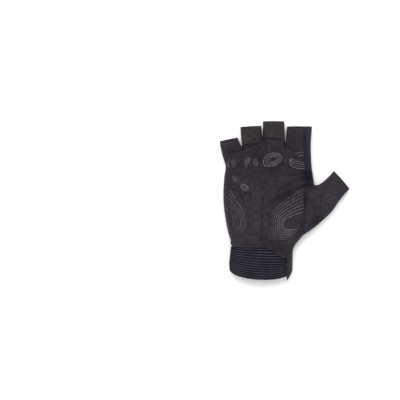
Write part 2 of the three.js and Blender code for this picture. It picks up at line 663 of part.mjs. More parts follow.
// A gel pad laid over the palm, thick in the middle and thin at its sewn edge.
function padOver(palm, outline) {
  const shape = outline.map(
    ({ x, y }) => new THREE.Vector3((x * PALM_WIDTH) / 2, y * HAND_LENGTH, 0),
  );
  const curve = new THREE.CatmullRomCurve3(shape, true);
  const edge = curve.getSpacedPoints(PAD_POINTS).slice(0, PAD_POINTS);
  const middle = shape.reduce((sum, point) => sum.add(point), new THREE.Vector3());
  middle.divideScalar(shape.length);
  const levels = [...PAD_RINGS, 0].map((share) => {
    const rise = PAD_EDGE + (PAD_RISE - PAD_EDGE) * Math.sqrt(1 - share ** 4);
    const ring = share ? edge.map((point) => middle.clone().lerp(point, share)) : [middle];
    return ring.flatMap((point) => pairOver(palm, point, LAP_GAP, rise));
  });
  const points = levels.flat();
  const faces = [];
  for (let k = 0; k < PAD_POINTS; k++) {
    const next = (k + 1) % PAD_POINTS;
    faces.push([2 * k, 2 * next, 2 * next + 1, 2 * k + 1]);
    for (let ring = 0; ring < PAD_RINGS.length; ring++) {
      const isLast = ring === PAD_RINGS.length - 1;
      const start = 2 * PAD_POINTS * ring;
      const inner = start + 2 * PAD_POINTS;
      const [a, b] = [start + 2 * k, start + 2 * next];
      const [c, d] = isLast ? [inner, inner] : [inner + 2 * next, inner + 2 * k];
      faces.push([a + 1, b + 1, c + 1, d + 1], [b, a, d, c]);
    }
  }
  return bodyOf(points, faces);
}

const group = new THREE.Group();
function addPiece(name, geometry, color, roughness) {
  const facets = geometry.toNonIndexed();
  facets.computeVertexNormals();
  const material = new THREE.MeshStandardMaterial({ color, roughness, metalness: 0 });
  const mesh = new THREE.Mesh(facets, material);
  mesh.name = name;
  group.add(mesh);
  return mesh;
}

const palm = addPiece("palm_panel", wallOf(panels.palm_panel, SUEDE_WALL), SUEDE, 0.95);
addPiece("thumb_front", wallOf(panels.thumb_front, SUEDE_WALL), SUEDE, 0.95);
addPiece("thumb_back", wallOf(panels.thumb_back, KNIT_WALL), KNIT, 0.9);
addPiece("back_panel", wallOf(panels.back_panel, KNIT_WALL), STRETCH, 0.8);
addPiece("back_mesh", wallOf(panels.back_mesh, KNIT_WALL), KNIT, 0.9);
addPiece("index_side_strip", wallOf(panels.index_side_strip, KNIT_WALL), STRETCH, 0.8);
addPiece("wrist_strip", wallOf(panels.wrist_strip, KNIT_WALL), STRETCH, 0.8);
addPiece("cuff", wallOf(panels.cuff, CUFF_WALL), RIBBED, 0.9);
for (const name of FOURCHETTES) addPiece(name, wallOf(panels[name], KNIT_WALL), KNIT, 0.9);
FINGERS.forEach(({ name }, index) => {
  addPiece(`finger_hem_${name}`, hemOver(palm, index), SUEDE, 0.95);
});
addPiece("thenar_pad", padOver(palm, THENAR_OUTLINE), GEL, 0.9);
addPiece("hypothenar_pad", padOver(palm, HYPOTHENAR_OUTLINE), GEL, 0.9);

// The origin is the middle of the underside of everything.
const bounds = new THREE.Box3().setFromObject(group);
const centre = bounds.getCenter(new THREE.Vector3());
for (const mesh of group.children) mesh.geometry.translate(-centre.x, -centre.y, -bounds.min.z);

export default group;
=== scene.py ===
import math

import bmesh
import bpy
import numpy as np
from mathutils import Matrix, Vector, noise
from mathutils.bvhtree import BVHTree


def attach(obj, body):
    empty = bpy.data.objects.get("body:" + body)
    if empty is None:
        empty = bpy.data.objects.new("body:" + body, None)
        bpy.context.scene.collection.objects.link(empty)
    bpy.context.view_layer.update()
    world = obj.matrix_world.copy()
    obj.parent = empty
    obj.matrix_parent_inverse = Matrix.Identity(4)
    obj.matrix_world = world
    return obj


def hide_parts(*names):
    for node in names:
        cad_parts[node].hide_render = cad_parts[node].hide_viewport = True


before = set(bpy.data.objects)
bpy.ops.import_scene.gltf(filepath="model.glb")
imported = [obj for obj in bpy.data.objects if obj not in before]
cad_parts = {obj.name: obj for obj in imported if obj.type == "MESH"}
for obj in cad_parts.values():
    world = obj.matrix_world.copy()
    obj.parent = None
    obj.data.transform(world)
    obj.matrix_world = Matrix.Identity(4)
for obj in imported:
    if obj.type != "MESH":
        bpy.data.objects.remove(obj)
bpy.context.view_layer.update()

# Looks of the fingerless cycling glove: it lies palm up on a pale floor, seen from above.
# Lengths in the tables are in millimetres in the row frame, and MM turns them into metres.
MM = 0.001


# Materials: small builders, then one function for each real finish. Every pattern lies in the
# piece's own coordinates, and its scale comes from a real size in millimetres.

ATTRIBUTE = "ShaderNodeAttribute"
MAP_RANGE = "ShaderNodeMapRange"
MATH = "ShaderNodeMath"
MIX = "ShaderNodeMix"
NOISE = "ShaderNodeTexNoise"
SEPARATE = "ShaderNodeSeparateXYZ"
VECTOR_MATH = "ShaderNodeVectorMath"

SHADED = "#08070b"  # what painted shade in folds, and the dark patches, darken the cloth towards
SPECULAR = 0.12  # low, because nap and loops scatter the light
SHEEN_ROUGHNESS = 0.5


def linear(code):
    """A linear colour from an sRGB hex code."""
    parts = [int(code[i : i + 2], 16) / 255 for i in (1, 3, 5)]
    return [c / 12.92 if c <= 0.04045 else ((c + 0.055) / 1.055) ** 2.4 for c in parts] + [1]


def add_node(tree, kind, inputs=(), output=0, **settings):
    """Adds a shader node with its settings and links, and returns one of its outputs.

    inputs pairs a socket's name or number with a value, a colour's hex code or a link."""
    made = tree.nodes.new(kind)
    for key, value in settings.items():
        setattr(made, key, value)
    for key, value in dict(inputs).items():
        if isinstance(value, bpy.types.NodeSocket):
            tree.links.new(value, made.inputs[key])
        else:
            made.inputs[key].default_value = linear(value) if isinstance(value, str) else value
    return made.outputs[output] if len(made.outputs) else None


def scale_of(size_mm):
    """The scale at which a noise's features are about size_mm across."""
    return 1 / (size_mm * MM)


def start_material(name):
    """A new material, its emptied tree and its pieces' object coordinates."""
    material = bpy.data.materials.new(name)
    material.use_nodes = True
    tree = material.node_tree
    tree.nodes.clear()
    return material, tree, add_node(tree, "ShaderNodeTexCoord", output="Object")


def finish_cloth(tree, color, height, strength, roughness, sheen, depth=0.4):
    """Ends a tree with a cloth's shader, darker and duller where the shade attribute marks
    painted shade or a dark patch.

    height and strength are the bumps', and depth is how deep they go in millimetres."""
    shade = add_node(tree, ATTRIBUTE, output="Fac", attribute_name="shade")
    shine = add_node(tree, MATH, {0: 1.0, 1: shade}, operation="SUBTRACT")
    bumps = {"Height": height, "Strength": strength, "Distance": depth * MM}
    surface = {
        "Base Color": add_node(tree, MIX, {0: shade, 6: color, 7: SHADED}, 2, data_type="RGBA"),
        "Roughness": roughness,
        "Specular IOR Level": add_node(tree, MATH, {0: shine, 1: SPECULAR}, operation="MULTIPLY"),
        "Sheen Weight": add_node(tree, MATH, {0: shine, 1: sheen}, operation="MULTIPLY"),
        "Sheen Roughness": SHEEN_ROUGHNESS,
        "Normal": add_node(tree, "ShaderNodeBump", bumps),
    }
    shader = add_node(tree, "ShaderNodeBsdfPrincipled", surface)
    add_node(tree, "ShaderNodeOutputMaterial", {"Surface": shader})


LOOPS_UP = 0.7  # rows of loops up the cloth for each column across


def knit_loops(tree, place, pitch):
    """Small knitted loops, as heights from 0 to 1, in rows across and up the cloth."""
    turn = 2 * math.pi / (pitch * MM)
    turns = {0: place, 1: (turn, turn * LOOPS_UP, 0)}
    turned = add_node(tree, VECTOR_MATH, turns, operation="MULTIPLY")
    waves = add_node(tree, VECTOR_MATH, {0: turned}, operation="SINE")
    across = add_node(tree, SEPARATE, {0: waves}, "X")
    up = add_node(tree, SEPARATE, {0: waves}, "Y")
    height = add_node(tree, MATH, {0: across, 1: up}, operation="MULTIPLY")
    return add_node(tree, MAP_RANGE, {"Value": height, "From Min": -1})


BAND_PITCH = 2.8  # coarser than the real knit, so that its loops show in the render
BAND_DARK = "#08070b"
BAND_LIGHT = "#36333d"


def suede(name, dark, light):
    """Synthetic suede, brushed: the nap lies in patches that look lighter or darker.

    Where band is marked, the cloth is the coarse knit that is sewn in at the thumb's edge."""
    material, tree, place = start_material(name)
    patches = add_node(tree, NOISE, {"Vector": place, "Scale": scale_of(14), "Detail": 3})
    patches = add_node(tree, MAP_RANGE, {"Value": patches, "From Min": 0.3, "From Max": 0.7})
    blots = add_node(tree, NOISE, {"Vector": place, "Scale": scale_of(3)})
    blots = add_node(tree, MAP_RANGE, {"Value": blots, "From Min": 0.3, "From Max": 0.7})
    fibre = {"Vector": place, "Scale": scale_of(0.9), "Detail": 3, "Roughness": 0.7}
    fibres = add_node(tree, NOISE, fibre)
    tone = add_node(tree, MATH, {0: patches, 1: 0.5, 2: fibres}, operation="MULTIPLY_ADD")
    tone = add_node(tree, MATH, {0: blots, 1: 0.7, 2: tone}, operation="MULTIPLY_ADD")
    tone = add_node(tree, MAP_RANGE, {"Value": tone, "From Min": 0.4, "From Max": 1.8})
    nap = add_node(tree, MIX, {0: tone, 6: dark, 7: light}, 2, data_type="RGBA")

    loops = knit_loops(tree, place, BAND_PITCH)
    knit = add_node(tree, MIX, {0: loops, 6: BAND_DARK, 7: BAND_LIGHT}, 2, data_type="RGBA")
    band = add_node(tree, ATTRIBUTE, output="Fac", attribute_name="band")
    color = add_node(tree, MIX, {0: band, 6: nap, 7: knit}, 2, data_type="RGBA")
    height = add_node(tree, MATH, {0: loops, 1: band, 2: fibres}, operation="MULTIPLY_ADD")
    finish_cloth(tree, color, height, strength=0.4, roughness=0.95, sheen=0.08)
    return material


def stretch_cloth(name, dark, light, pitch):
    """A fine elastic knit: smooth, with rows of small loops and faint patches."""
    material, tree, place = start_material(name)
    loops = knit_loops(tree, place, pitch)
    patches = add_node(tree, NOISE, {"Vector": place, "Scale": scale_of(9), "Detail": 3})
    patches = add_node(tree, MAP_RANGE, {"Value": patches, "From Min": 0.3, "From Max": 0.7})
    tone = add_node(tree, MATH, {0: loops, 1: 0.4, 2: patches}, operation="MULTIPLY_ADD")
    tone = add_node(tree, MAP_RANGE, {"Value": tone, "From Min": 0.1, "From Max": 1.3})
    color = add_node(tree, MIX, {0: tone, 6: dark, 7: light}, 2, data_type="RGBA")
    finish_cloth(tree, color, loops, strength=0.35, roughness=0.75, sheen=0.1)
    return material


EYELET_STEP = (3.4 * MM, 5.2 * MM, 1)
EYELET_SQUASH = (2.2, 1, 0)  # makes the eyelets upright
STEEP = 0.7  # how far cloth faces sideways where its rows go up its wall


def eyelet_mesh(name):
    """Mesh knit: upright eyelets of about 1 by 2.4 mm, in rows staggered by half a step."""
    material, tree, place = start_material(name)
    x, y, z = [add_node(tree, SEPARATE, {0: place}, axis) for axis in "XYZ"]
    facing = add_node(tree, "ShaderNodeNewGeometry", output="Normal")
    sideways = add_node(tree, SEPARATE, {0: facing}, "X")
    sideways = add_node(tree, MATH, {0: sideways}, operation="ABSOLUTE")
    steep = add_node(tree, MATH, {0: sideways, 1: STEEP}, operation="GREATER_THAN")
    across = add_node(tree, MIX, {0: steep, 2: x, 3: z})
    spot = add_node(tree, "ShaderNodeCombineXYZ", {0: across, 1: y})
    steps = add_node(tree, VECTOR_MATH, {0: spot, 1: EYELET_STEP}, operation="DIVIDE")

    def cloth_round(shift):
        """0 in one grid's eyelets and 1 on the cloth round them."""
        moved = add_node(tree, VECTOR_MATH, {0: steps, 1: (shift, shift, 0)}, operation="ADD")
        cell = add_node(tree, VECTOR_MATH, {0: moved}, operation="FRACTION")
        off = add_node(tree, VECTOR_MATH, {0: cell, 1: (0.5, 0.5, 0)}, operation="SUBTRACT")
        squares = add_node(tree, VECTOR_MATH, {0: off, 1: off}, operation="MULTIPLY")
        weighed = {0: squares, 1: EYELET_SQUASH}
        total = add_node(tree, VECTOR_MATH, weighed, "Value", operation="DOT_PRODUCT")
        away = add_node(tree, MATH, {0: total}, operation="SQRT")
        return add_node(tree, MAP_RANGE, {"Value": away, "From Min": 0.16, "From Max": 0.3})

    cloth = add_node(tree, MATH, {0: cloth_round(0), 1: cloth_round(0.5)}, operation="MINIMUM")
    fibres = add_node(tree, NOISE, {"Vector": place, "Scale": scale_of(0.6)})
    fibres = add_node(tree, MATH, {0: fibres, 1: 0.4}, operation="ADD")
    lit = add_node(tree, MATH, {0: cloth, 1: fibres}, operation="MULTIPLY")
    color = add_node(tree, MIX, {0: lit, 6: "#0b0a0e", 7: "#2d2b33"}, 2, data_type="RGBA")
    finish_cloth(tree, color, cloth, strength=0.9, roughness=0.85, sheen=0.08, depth=0.8)
    return material


RIB_LOOP_PITCH = 0.9


def ribbed(name):
    """Ribbed knit: the grooves, marked on the mesh, are painted darker as shade, with fine loops
    all over.
    """
    material, tree, place = start_material(name)
    x = add_node(tree, SEPARATE, {0: place}, "X")
    turn = 2 * math.pi / (RIB_LOOP_PITCH * MM)
    turned = add_node(tree, MATH, {0: x, 1: turn}, operation="MULTIPLY")
    loops = add_node(tree, MATH, {0: turned}, operation="SINE")
    patches = add_node(tree, NOISE, {"Vector": place, "Scale": scale_of(12)})
    patches = add_node(tree, MAP_RANGE, {"Value": patches, "From Min": 0.3, "From Max": 0.7})
    crests = add_node(tree, MIX, {0: patches, 6: "#322f3d", 7: "#423f4c"}, 2, data_type="RGBA")
    # painted shade in the grooves between the ribs
    groove = add_node(tree, ATTRIBUTE, output="Fac", attribute_name="groove")
    groove = add_node(tree, MAP_RANGE, {"Value": groove, "From Max": 0.55})
    color = add_node(tree, MIX, {0: groove, 6: crests, 7: "#050407"}, 2, data_type="RGBA")
    finish_cloth(tree, color, loops, strength=0.2, roughness=0.85, sheen=0.08, depth=0.2)
    return material


def sewing_thread(name, code):
    """Twisted thread: plain, with a faint grain."""
    material, tree, place = start_material(name)
    grain = add_node(tree, NOISE, {"Vector": place, "Scale": scale_of(1.5)})
    finish_cloth(tree, code, grain, strength=0.1, roughness=0.8, sheen=0)
    return material


def screen_print(name, worn, fresh):
    """Printed silicone: pale, but dull and dirty where it is marked as worn."""
    material, tree, place = start_material(name)
    grain = add_node(tree, NOISE, {"Vector": place, "Scale": scale_of(2.5), "Detail": 3})
    patches = add_node(tree, MAP_RANGE, {"Value": grain, "From Min": 0.45, "From Max": 0.75})
    wear = add_node(tree, ATTRIBUTE, output="Fac", attribute_name="wear")
    rubbed = add_node(tree, MATH, {0: wear, 1: patches}, operation="ADD")
    rubbed = add_node(tree, MAP_RANGE, {"Value": rubbed, "From Max": 1.4})
    color = add_node(tree, MIX, {0: rubbed, 6: fresh, 7: worn}, 2, data_type="RGBA")
    finish_cloth(tree, color, grain, strength=0.1, roughness=0.5, sheen=0)
    return material


palm_suede = suede("palm suede", "#1a161b", "#373138")
hem_suede = suede("turned hem suede", "#1b181b", "#393336")
thumb_knit = suede("fine taupe knit of the thumb's back", "#1b171c", "#38323a")
mesh_knit = eyelet_mesh("mesh knit with eyelets")
stretch_knit = stretch_cloth("smooth stretch knit", "#1f1e27", "#2b2a36", 0.8)
wrist_knit = stretch_cloth("wrist strip knit", "#17161c", "#25242c", 1.4)
cuff_knit = ribbed("ribbed cuff knit")
silicone = screen_print("printed silicone", "#3a363a", "#7c797b")
thread = sewing_thread("sewing thread", "#141218")


# The shape of the cloth: folds and seams that sink or lift the palm side.

# Lines on the palm side that sink by depth, over a width to each side of the line. dark is how
# far painted shade darkens the line, as shade in the crease's hollow.
CREASES = [
    # seam from the index finger's opening to the foot of the thumb
    {
        "depth": 0.7,
        "width": 1.0,
        "dark": 0.35,
        "line": [(21.2, 78), (21.2, 40), (21.4, 10), (20.4, -16), (17.5, -34)],
    },
    # folds that run from the fork of the thumb into the palm
    {
        "depth": 1.0,
        "width": 1.7,
        "dark": 0.45,
        "line": [(31, 14), (26, 16.5), (20, 15.5), (12, 12.5), (3, 8.5), (-6, 4), (-13, -1.5)],
    },
    {
        "depth": 0.8,
        "width": 1.7,
        "dark": 0.3,
        "line": [(30, 21), (25, 24), (18, 23.5), (10, 20), (0, 15), (-9, 9)],
    },
    {"depth": 0.6, "width": 1.6, "dark": 0.3, "line": [(28, 28), (22, 30), (12, 28.5), (5, 26)]},
    # folds round the foot of the thumb and across it
    {"depth": 0.5, "width": 1.6, "dark": 0.2, "line": [(24, -12), (31, -8), (38, -8)]},
    {"depth": 0.5, "width": 2.0, "dark": 0.15, "line": [(40, 20), (44, 12), (51, 6)]},
    {"depth": 0.6, "width": 1.5, "dark": 0.4, "line": [(30, -16), (35, -17), (41, -19)]},
    # folds below the fingers and over the heel of the hand
    {"depth": 0.4, "width": 1.8, "dark": 0.2, "line": [(-56, 33), (-49, 37), (-40, 36)]},
    {"depth": 0.4, "width": 2.0, "dark": 0.1, "line": [(-20, 38), (-8, 36), (4, 38), (14, 37)]},
    {
        "depth": 0.45,
        "width": 1.4,
        "dark": 0.15,
        "line": [(-52, -39), (-40, -41), (-24, -41), (-10, -44)],
    },
    # upright creases between the two pads
    {
        "depth": 0.4,
        "width": 1.4,
        "dark": 0.3,
        "line": [(-22.5, 4), (-24.2, -8), (-24.2, -26), (-25.2, -42)],
    },
    {
        "depth": 0.35,
        "width": 1.2,
        "dark": 0.15,
        "line": [(-18, 6), (-18.5, -4), (-19, -20), (-19, -38)],
    },
    # crease along the large pad's inner edge
    {
        "depth": 0.45,
        "width": 1.0,
        "dark": 0.3,
        "line": [(8, 8), (-4, 2), (-10.5, -4.5), (-15, -11.5), (-16.3, -20), (-16.5, -33)],
    },
]
# Soft waves of the slack cloth: how high they are, and how long across and up the hand. seed
# picks a different part of the noise for each.
WAVES = [
    {"height": 0.55, "across": 21, "up": 27, "seed": 3.1},
    {"height": 0.22, "across": 8, "up": 11, "seed": 7.7},
]
FOLDED_ABOVE = (7, 13)  # heights between which the folds set in, above the back
SHADED_ABOVE = (5, 10)  # the same for the palm side's painted shade and dark patches
# Dark patches, as on the photographed glove: middle, half sizes across and up, and how dark. Some
# are painted shade, as marked below; the others darken the cloth's tone.
DARK_PATCHES = [
    # on the palm, at the foot of the thumb and over the cuff
    # painted shade in the deep fold at the fork of the thumb
    {"x": 24.5, "y": 24, "across": 6, "up": 9, "dark": 0.62},
    {"x": 25.5, "y": 42, "across": 3, "up": 14, "dark": 0.15},
    {"x": 33, "y": -22, "across": 9, "up": 6, "dark": 0.35},
    {"x": -23, "y": 72, "across": 2.5, "up": 6, "dark": 0.5},
    {"x": 12, "y": 6, "across": 9, "up": 3, "dark": 0.25},
    {"x": -3, "y": 3, "across": 8, "up": 3.5, "dark": 0.25},
    {"x": -8, "y": 42, "across": 60, "up": 24, "dark": 0.38},
    {"x": 12, "y": 64, "across": 9, "up": 10, "dark": 0.12},
    {"x": -58, "y": 28, "across": 9, "up": 22, "dark": 0.12},
    {"x": 5, "y": -8, "across": 18, "up": 24, "dark": 0.2},
    {"x": -52, "y": -8, "across": 10, "up": 20, "dark": 0.2},
    {"x": -3, "y": -50, "across": 13, "up": 8, "dark": 0.35},
    # painted shade along the palm's edge over the cuff, where the light would make it bright
    {"x": -38, "y": -46, "across": 20, "up": 4, "dark": 0.25},
    # painted shade under the hems' edges and in the forks
    {"x": -39, "y": 56.8, "across": 5, "up": 1.2, "dark": 0.6},
    {"x": -12.5, "y": 64.6, "across": 5, "up": 1, "dark": 0.6},
    {"x": -55, "y": 51.2, "across": 6, "up": 1.4, "dark": 0.35},
    {"x": -22, "y": 63.5, "across": 2.2, "up": 3.2, "dark": 0.5},
    {"x": -43.5, "y": 54.5, "across": 2.4, "up": 2.2, "dark": 0.6},
    {"x": 0.5, "y": 58, "across": 1.8, "up": 3.2, "dark": 0.5},
]
# The same on the back, where the mesh is darker on the little finger's side.
BACK_DARK_PATCHES = [
    {"x": -62, "y": 34, "across": 22, "up": 20, "dark": 0.55},
    {"x": -60, "y": -5, "across": 8, "up": 40, "dark": 0.3},
]
# The thumb's edge on the wrist's side, where a band of coarse knit is sewn in.
THUMB_EDGE = [(67, 11.5), (58.6, 1.5), (51.2, -9.6), (39.7, -20), (27, -30), (18.7, -37.4)]
THUMB_BAND = 6.0
BAND_BLUR = 0.6  # over which the band's inner edge fades, to each side


def line_distance(x, y, line):
    """Distance in millimetres from points to a line of several pieces."""
    best = np.full(x.shape, 1e9)
    for (ax, ay), (bx, by) in zip(line, line[1:]):
        dx, dy = bx - ax, by - ay
        t = np.clip(((x - ax) * dx + (y - ay) * dy) / (dx * dx + dy * dy), 0, 1)
        best = np.minimum(best, np.hypot(x - ax - t * dx, y - ay - t * dy))
    return best


def smooth(value, low, high):
    """0 up to low, 1 from high on, and a soft step between."""
    t = np.clip((value - low) / (high - low), 0, 1)
    return t * t * (3 - 2 * t)


def nearness(x, y, crease):
    """1 on a crease, and less with the distance from it."""
    away = line_distance(x, y, crease["line"])
    return np.exp(-((away / crease["width"]) ** 2))


def drape(points):
    """How far the cloth's soft folds raise each point, in millimetres. Only the palm side."""
    x, y, z = points.T
    lift = np.zeros(len(points))
    for crease in CREASES:
        lift -= crease["depth"] * nearness(x, y, crease)
    for wave in WAVES:
        places = [
            Vector((px, py, wave["seed"])) for px, py in zip(x / wave["across"], y / wave["up"])
        ]
        lift += wave["height"] * np.array([noise.noise(place) for place in places])
    return lift * smooth(z, *FOLDED_ABOVE)


def light_under_patches(x, y, table):
    """What a table of dark patches leaves of the light at each point."""
    light = np.ones(len(x))
    for row in table:
        off = ((x - row["x"]) / row["across"]) ** 2 + ((y - row["y"]) / row["up"]) ** 2
        light *= 1 - row["dark"] * np.exp(-off)
    return light


def shade(points):
    """How dark each point is painted, from 0 to 1: painted shade in the folds, and the dark
    patches.
    """
    x, y, z = points.T
    light = light_under_patches(x, y, DARK_PATCHES)
    for crease in CREASES:
        light *= 1 - crease["dark"] * nearness(x, y, crease)
    palm_side = smooth(z, *SHADED_ABOVE)
    return (1 - light) * palm_side + (1 - light_under_patches(x, y, BACK_DARK_PATCHES)) * (1 - palm_side)


# Pieces: copies of the CAD panels, with four-sided faces, hard rims and soft folds.

RIM_ANGLE = math.radians(65)  # between a panel's faces and the faces round its edge
CORNER_ANGLE = math.radians(32)  # between two rim faces at a corner
WELD = 0.002  # how close two corners of a CAD mesh are that are one point
SAME_LENGTH = 0.004  # how close a side's length is to the wall that it crosses


def cage(node):
    """A CAD node's mesh with its triangles joined up again, in metres in the row frame."""
    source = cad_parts[node]
    bm = bmesh.new()
    bm.from_mesh(source.data)
    bm.transform(source.matrix_world)
    bmesh.ops.remove_doubles(bm, verts=bm.verts, dist=WELD * MM)
    bmesh.ops.join_triangles(
        bm,
        faces=bm.faces,
        angle_face_threshold=math.radians(70),
        angle_shape_threshold=math.radians(170),
    )
    bmesh.ops.recalc_face_normals(bm, faces=bm.faces)
    return bm


def is_sewn_edge(face, wall):
    """Whether a face runs from a panel's outer to its inner face, so that two sides cross it."""
    across = [abs(edge.calc_length() / MM - wall) < SAME_LENGTH for edge in face.edges]
    return sum(across) >= 2


def crease_rims(bm, is_rim=None):
    """Keeps a panel's edge sharp, and returns the faces round its edge.

    is_rim tells those faces. Without it, they are the ones between two sharp edges."""
    layer = bm.edges.layers.float.new("crease_edge")
    bm.normal_update()
    sharp = set()
    if is_rim:
        rim_faces = {face for face in bm.faces if is_rim(face)}
    else:
        sharp = {edge for edge in bm.edges if edge.calc_face_angle(0) > RIM_ANGLE}
        rim_faces = {face for face in bm.faces if sum(edge in sharp for edge in face.edges) >= 2}
    for edge in bm.edges:
        sides = [face in rim_faces for face in edge.link_faces]
        if all(sides):
            is_hard = edge.calc_face_angle(0) > CORNER_ANGLE
        else:
            is_hard = any(sides) or edge in sharp
        edge[layer] = float(is_hard)
    return rim_faces


def widen(rim_faces, by):
    """Moves a panel's edge outwards, so that it closes the seam to the panels beside it."""
    moves = {}
    for face in rim_faces:
        for vert in face.verts:
            moves[vert] = moves.get(vert, Vector()) + face.normal
    for vert, move in moves.items():
        vert.co += move.normalized() * by * MM


def mesh_object(name, bm, material):
    """Ends a bmesh as an object of one material, shaded smooth."""
    mesh = bpy.data.meshes.new(name)
    bm.to_mesh(mesh)
    bm.free()
    for face in mesh.polygons:
        face.use_smooth = True
    mesh.materials.append(material)
    made = bpy.data.objects.new(name, mesh)
    bpy.context.collection.objects.link(made)
    return made


def subdivide(made, levels):
    """Replaces an object's mesh by its smoothly subdivided one."""
    finer = made.modifiers.new("smooth", "SUBSURF")
    finer.levels = finer.render_levels = levels
    finer.boundary_smooth = "PRESERVE_CORNERS"
    depsgraph = bpy.context.evaluated_depsgraph_get()
    mesh = bpy.data.meshes.new_from_object(made.evaluated_get(depsgraph))
    made.modifiers.clear()
    made.data = mesh


def coordinates(mesh):
    """A mesh's points in millimetres, one row for each."""
    flat = np.empty(len(mesh.vertices) * 3)
    mesh.vertices.foreach_get("co", flat)
    return flat.reshape(-1, 3) / MM


def move_points(mesh, points):
    """Puts a mesh's points at places in millimetres."""
    mesh.vertices.foreach_set("co", (points * MM).ravel())
    mesh.update()


def mark(mesh, name, values):
    """Stores a value for each point, which a material reads by this name."""
    layer = mesh.attributes.new(name, "FLOAT", "POINT")
    layer.data.foreach_set("value", np.asarray(values, dtype=np.float32))


def fold(made):
    """Moves a piece's points by the cloth's folds, and marks their painted shade and dark
    patches.
    """
    points = coordinates(made.data)
    mark(made.data, "shade", shade(points))
    points[:, 2] += drape(points)
    move_points(made.data, points)


def declare(made, node):
    """Attaches a piece to the glove's root, and hides the CAD node that it stands for."""
    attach(made, "root")
    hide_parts(node)


# The sewn panels and the hems, with their cloth and how often their faces are divided.
PANELS = [
    {"node": "palm_panel", "finish": palm_suede, "slot": "suede", "levels": 2},
    {"node": "thumb_front", "finish": palm_suede, "slot": "suede", "levels": 2},
    {"node": "thumb_back", "finish": thumb_knit, "slot": "mesh_knit", "levels": 2},
    {"node": "back_panel", "finish": stretch_knit, "slot": "stretch_knit", "levels": 2},
    {"node": "back_mesh", "finish": mesh_knit, "slot": "mesh_knit", "levels": 2},
    {"node": "index_side_strip", "finish": stretch_knit, "slot": "stretch_knit", "levels": 2},
    {"node": "wrist_strip", "finish": wrist_knit, "slot": "stretch_knit", "levels": 2},
    {"node": "fourchette_ring_little", "finish": mesh_knit, "slot": "mesh_knit", "levels": 2},
    {"node": "fourchette_middle_ring", "finish": mesh_knit, "slot": "mesh_knit", "levels": 2},
    {"node": "fourchette_index_middle", "finish": mesh_knit, "slot": "mesh_knit", "levels": 2},
    {"node": "finger_hem_little", "finish": palm_suede, "slot": "suede", "levels": 3},
    {"node": "finger_hem_ring", "finish": hem_suede, "slot": "suede", "levels": 3},
    {"node": "finger_hem_middle", "finish": hem_suede, "slot": "suede", "levels": 3},
    {"node": "finger_hem_index", "finish": palm_suede, "slot": "suede", "levels": 3},
]

# The hems' lower edges are pressed down: edge is how far up the hand each one lies, sink how
# far it goes down there, and over the length on which the hem comes up again.
HEM_EDGES = {
    "finger_hem_little": {"edge": 52.5, "sink": 0.75, "over": 8},
    "finger_hem_ring": {"edge": 59.2, "sink": 0.75, "over": 8},
    "finger_hem_middle": {"edge": 64.4, "sink": 0.75, "over": 8},
    "finger_hem_index": {"edge": 61, "sink": 1.45, "over": 5},
}
WALLS = {"suede": 1.2, "mesh_knit": 1.0, "stretch_knit": 1.0}  # of each cloth's panels
SEAM_WIDENING = 0.25  # of a panel's edge: half the seam's gap, and 0.1 into its neighbour


def sewn_panel(row):
    """A panel whose edges meet its neighbours'."""
    bm = cage(row["node"])
    rim_faces = crease_rims(bm, lambda face: is_sewn_edge(face, WALLS[row["slot"]]))
    widen(rim_faces, SEAM_WIDENING)
    piece = mesh_object(row["node"] + "_look", bm, row["finish"])
    subdivide(piece, row["levels"])
    fold(piece)
    return piece


def hem(row):
    """A finger's hem, whose lower edge is pressed down towards the palm."""
    bm = cage(row["node"])
    crease_rims(bm)
    piece = mesh_object(row["node"] + "_look", bm, row["finish"])
    subdivide(piece, row["levels"])
    fold(piece)
    points = coordinates(piece.data)
    lower = HEM_EDGES[row["node"]]
    up_from_edge = smooth(points[:, 1], lower["edge"], lower["edge"] + lower["over"])
    points[:, 2] -= lower["sink"] * (1 - up_from_edge)
    move_points(piece.data, points)
    return piece


pieces = {}
for row in PANELS:
    make = hem if row["node"] in HEM_EDGES else sewn_panel
    pieces[row["node"]] = make(row)
    declare(pieces[row["node"]], row["node"])

for node in ("thumb_front", "thumb_back"):
    x, y, z = coordinates(pieces[node].data).T
    away = line_distance(x, y, THUMB_EDGE)
    band = 1 - smooth(away, THUMB_BAND - BAND_BLUR, THUMB_BAND + BAND_BLUR)
    mark(pieces[node].data, "band", band)


# The two gel pads: suede over gel, with the same folds as the palm under them.

for node in ("thenar_pad", "hypothenar_pad"):
    bm = cage(node)
    crease_rims(bm)
    piece = mesh_object(node + "_look", bm, palm_suede)
    subdivide(piece, 2)
    fold(piece)
    declare(piece, node)
    pieces[node] = piece


# The cuff: the ribs are deepened, and their grooves are marked for the finish's painted shade.
# Its lower half is painted with shade too.

CUFF_AXIS = Vector((-24, 0, 10))  # a point on the line through the cuff's middle
RIM_FACING = 0.86  # how far the faces of the cuff's two ends face up or down the hand
UPRIGHT = 0.6  # how far an edge of the cuff runs up the hand, where it crosses the ribs
GROOVE_FOUND = 0.08  # how far a groove lies under the crests beside it, at least
GROOVE_DEPTH = 0.35  # how much deeper it is made
FAINT_BELOW = -62  # where the painted shade in the grooves of the back becomes faint
FAINT = 0.2  # how strongly the painted shade is marked in the grooves there
CUFF_SIDE_SHADE = 0.7  # how dark the painted shade on the cuff's lower half is, where its sides turn away from the light
CUFF_LIT_ABOVE = (9, 19)  # heights between which it becomes light


